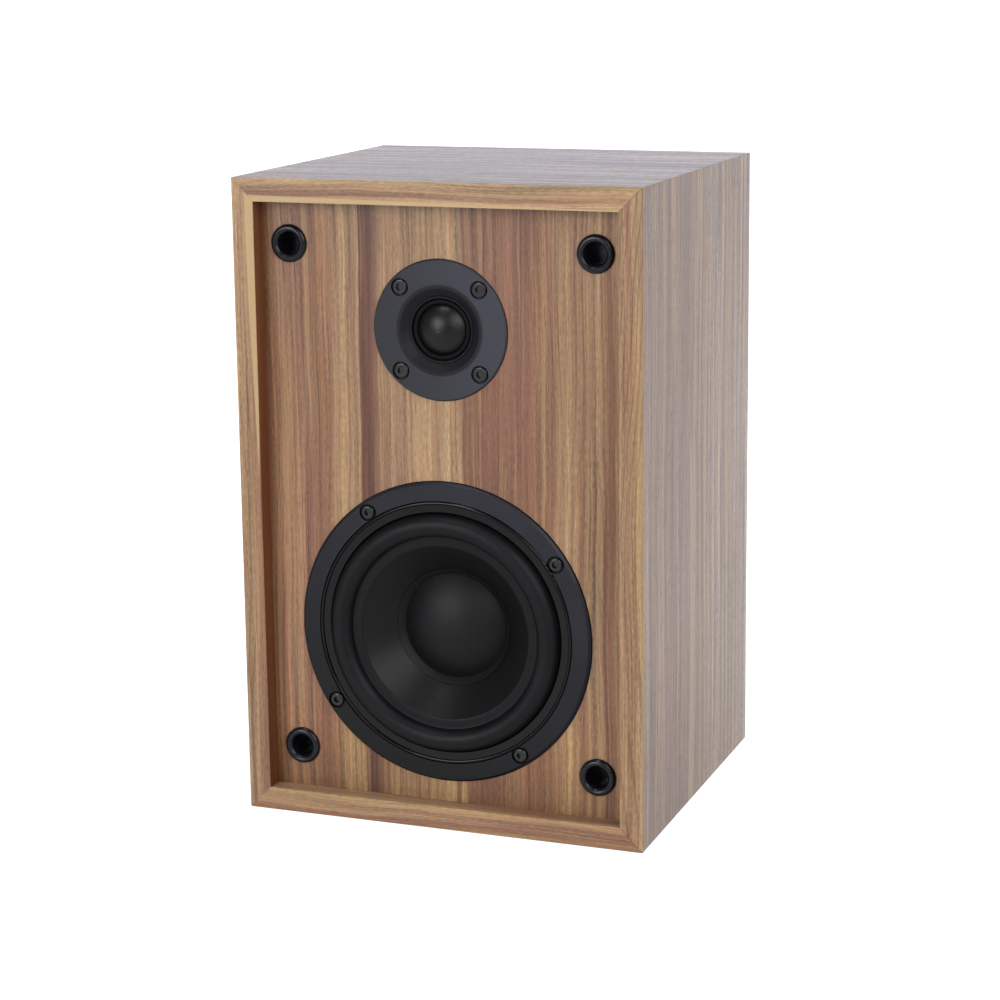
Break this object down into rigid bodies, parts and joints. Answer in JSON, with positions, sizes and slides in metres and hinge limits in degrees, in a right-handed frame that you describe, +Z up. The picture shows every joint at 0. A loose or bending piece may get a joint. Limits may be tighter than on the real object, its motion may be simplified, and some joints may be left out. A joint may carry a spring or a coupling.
{
  "type": "bookshelf speaker",
  "caption": "Two-way bookshelf loudspeaker in a mitred wooden cabinet, with a recessed baffle, sprung diaphragms, grille sockets, a rear port and screw-down terminals.",
  "frame": {"origin": "middle of the cabinet's underside", "axes": "+Z up, -Y towards the listener (the front), +X to the right as the listener sees the front"},
  "size_m": [0.18, 0.162, 0.276],
  "materials": {
    "cabinet_veneer": "striped walnut veneer, satin",
    "baffle_veneer": "striped walnut veneer, satin",
    "back_board": "black painted fibreboard, matt",
    "cup_plastic": "satin black moulded plastic",
    "frame_metal": "black powder coat, satin",
    "trim_gloss": "smooth black moulded ring",
    "surround_rubber": "matt black rubber",
    "cone_pulp": "coated black pulp",
    "cap_pulp": "coated black pulp",
    "tweeter_plate_plastic": "satin slate moulded plastic",
    "dome_cloth": "doped black cloth",
    "seal_foam": "closed-cell foam",
    "screw_black": "black oxide",
    "spider_cloth": "resin-treated cotton",
    "former_aluminium": "plain foil",
    "coil_copper": "enamelled copper",
    "motor_steel": "zinc-plated steel",
    "ferrite": "ground ferrite",
    "strip_laminate": "phenolic laminate",
    "tag_brass": "plain brass",
    "terminal_plastic": "textured black moulded plastic",
    "spacer_plastic": "natural nylon",
    "washer_steel": "nickel plated",
    "knob_black": "polished",
    "knob_red": "polished",
    "capacitor_film": "yellow wrapped film",
    "resistor_ceramic": "unglazed ceramic",
    "wire_insulation": "vinyl insulation",
    "wadding": "polyester wadding"
  },
  "bodies": {
    "cabinet": {"back_panel": "back_board", "black_post": "tag_brass", "cabinet_bottom": "cabinet_veneer", "cabinet_left": "cabinet_veneer", "cabinet_right": "cabinet_veneer", "cabinet_top": "cabinet_veneer", "capacitor": "capacitor_film", "crossover_board": "strip_laminate", "crossover_screws": "screw_black", "crossover_standoffs": "spacer_plastic", "driver_tags": "tag_brass", "front_baffle": "baffle_veneer", "grille_cup_bottom_left": "cup_plastic", "grille_cup_bottom_right": "cup_plastic", "grille_cup_top_left": "cup_plastic", "grille_cup_top_right": "cup_plastic", "inductor_bobbin": "spacer_plastic", "inductor_winding": "coil_copper", "input_wires": "wire_insulation", "port_tube": "terminal_plastic", "post_nuts": "motor_steel", "red_post": "tag_brass", "resistor": "resistor_ceramic", "solder_lugs": "tag_brass", "terminal_cup": "terminal_plastic", "terminal_cup_seal": "seal_foam", "terminal_screws": "screw_black", "tweeter_magnet": "ferrite", "tweeter_plate": "tweeter_plate_plastic", "tweeter_screws": "screw_black", "tweeter_seal": "seal_foam", "tweeter_spacer": "spacer_plastic", "tweeter_surround": "dome_cloth", "tweeter_terminal_strip": "strip_laminate", "tweeter_top_plate": "motor_steel", "tweeter_wires": "wire_insulation", "tweeter_yoke": "motor_steel", "wadding_pad": "wadding", "woofer_basket": "frame_metal", "woofer_braid_leads": "tag_brass", "woofer_magnet": "ferrite", "woofer_screws": "screw_black", "woofer_seal": "seal_foam", "woofer_spider": "spider_cloth", "woofer_surround": "surround_rubber", "woofer_terminal_strip": "strip_laminate", "woofer_top_plate": "motor_steel", "woofer_trim_ring": "trim_gloss", "woofer_wires": "wire_insulation", "woofer_yoke": "motor_steel"},
    "woofer_diaphragm": {"woofer_cone": "cone_pulp", "woofer_dust_cap": "cap_pulp", "woofer_former": "former_aluminium", "woofer_coil": "coil_copper"},
    "tweeter_diaphragm": {"tweeter_dome": "dome_cloth", "tweeter_coil": "coil_copper"},
    "black_clamp": {"black_clamp_washer": "washer_steel"},
    "black_grip": {"black_knob": "knob_black"},
    "red_clamp": {"red_clamp_washer": "washer_steel"},
    "red_grip": {"red_knob": "knob_red"}
  },
  "joints": [
    {"name": "woofer_travel", "type": "slide", "parent": "cabinet", "child": "woofer_diaphragm", "axis": [0, -1, 0], "range_m": [-0.003, 0.003], "stiffness_N_per_m": 1000, "deforming": ["woofer_surround", "woofer_spider", "woofer_braid_leads"]},
    {"name": "tweeter_travel", "type": "slide", "parent": "cabinet", "child": "tweeter_diaphragm", "axis": [0, -1, 0], "range_m": [-0.0004, 0.0004], "stiffness_N_per_m": 150, "deforming": ["tweeter_surround"]},
    {"name": "black_clamp_travel", "type": "slide", "parent": "cabinet", "child": "black_clamp", "axis": [0, 1, 0], "range_m": [0, 0.00375]},
    {"name": "black_knob_turn", "type": "hinge", "parent": "black_clamp", "child": "black_grip", "pos_m": [-0.00953, 0.07, 0.064], "axis": [0, 1, 0], "range_deg": [0, 1350]},
    {"name": "red_clamp_travel", "type": "slide", "parent": "cabinet", "child": "red_clamp", "axis": [0, 1, 0], "range_m": [0, 0.00375]},
    {"name": "red_knob_turn", "type": "hinge", "parent": "red_clamp", "child": "red_grip", "pos_m": [0.00953, 0.07, 0.064], "axis": [0, 1, 0], "range_deg": [0, 1350]}
  ],
  "couplings": [
    {"joint": "black_knob_turn", "follows": "black_clamp_travel", "rad_per_m": 6283.2},
    {"joint": "red_knob_turn", "follows": "red_clamp_travel", "rad_per_m": 6283.2}
  ]
}
